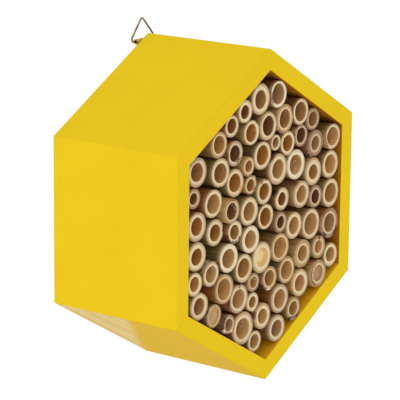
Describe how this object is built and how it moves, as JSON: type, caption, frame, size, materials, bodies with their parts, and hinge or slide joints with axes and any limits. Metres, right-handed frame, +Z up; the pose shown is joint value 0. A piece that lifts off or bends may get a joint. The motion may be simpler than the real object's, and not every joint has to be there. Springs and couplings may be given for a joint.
{
  "type": "bee house",
  "caption": "Hexagonal hanging bee house: mitred yellow wooden frame filled with cut bamboo canes, with a wooden back and a brass plate and wire ring at its top.",
  "frame": {"origin": "centre of the hexagon on the back face, which lies on the wall", "axes": "+Y out of the back towards the wall, so the open front looks along -Y; +Z up to the roof's ridge; +X to the right as seen from the front"},
  "size_m": [0.1516, 0.0831, 0.1832],
  "materials": {
    "yellow_paint": "satin yellow paint on smooth wood",
    "bare_wood": "bare pale plywood with a little yellow overspray round the edge",
    "bamboo": "dry cut bamboo, cream end grain and streaked tan skin",
    "brass": "thin brass plating, slightly dulled"
  },
  "bodies": {
    "house": {"roof_left": "yellow_paint", "roof_right": "yellow_paint", "side_left": "yellow_paint", "side_right": "yellow_paint", "floor_left": "yellow_paint", "floor_right": "yellow_paint", "back_panel": "bare_wood", "cane_01": "bamboo", "cane_05": "bamboo", "cane_10": "bamboo", "cane_11": "bamboo", "cane_12": "bamboo", "cane_14": "bamboo", "cane_18": "bamboo", "cane_24": "bamboo", "cane_25": "bamboo", "cane_26": "bamboo", "cane_28": "bamboo", "cane_33": "bamboo", "cane_34": "bamboo", "cane_35": "bamboo", "cane_36": "bamboo", "cane_37": "bamboo", "cane_38": "bamboo", "cane_47": "bamboo", "cane_49": "bamboo", "cane_57": "bamboo", "cane_61": "bamboo", "cane_63": "bamboo", "cane_64": "bamboo", "cane_65": "bamboo", "cane_67": "bamboo", "cane_69": "bamboo", "cane_70": "bamboo", "canes_02_09": "bamboo", "canes_03_04": "bamboo", "canes_06_17": "bamboo", "canes_07_08": "bamboo", "canes_13_27": "bamboo", "canes_15_16": "bamboo", "canes_19_20": "bamboo", "canes_21_29": "bamboo", "canes_22_23": "bamboo", "canes_30_45": "bamboo", "canes_31_39": "bamboo", "canes_32_40": "bamboo", "canes_41_42": "bamboo", "canes_43_44": "bamboo", "canes_46_55": "bamboo", "canes_48_58": "bamboo", "canes_50_51": "bamboo", "canes_52_59": "bamboo", "canes_53_54": "bamboo", "canes_56_62": "bamboo", "canes_60_66": "bamboo", "canes_68_71": "bamboo", "hanger_plate": "brass", "hanger_nail_left": "brass", "hanger_nail_right": "brass"},
    "ring": {"hanger_ring": "brass"}
  },
  "joints": [
    {"name": "ring_swing", "type": "hinge", "parent": "house", "child": "ring", "pos_m": [-0.002, 0.0017, 0.0835], "axis": [-1, 0, 0], "range_deg": [-60, 176]}
  ]
}
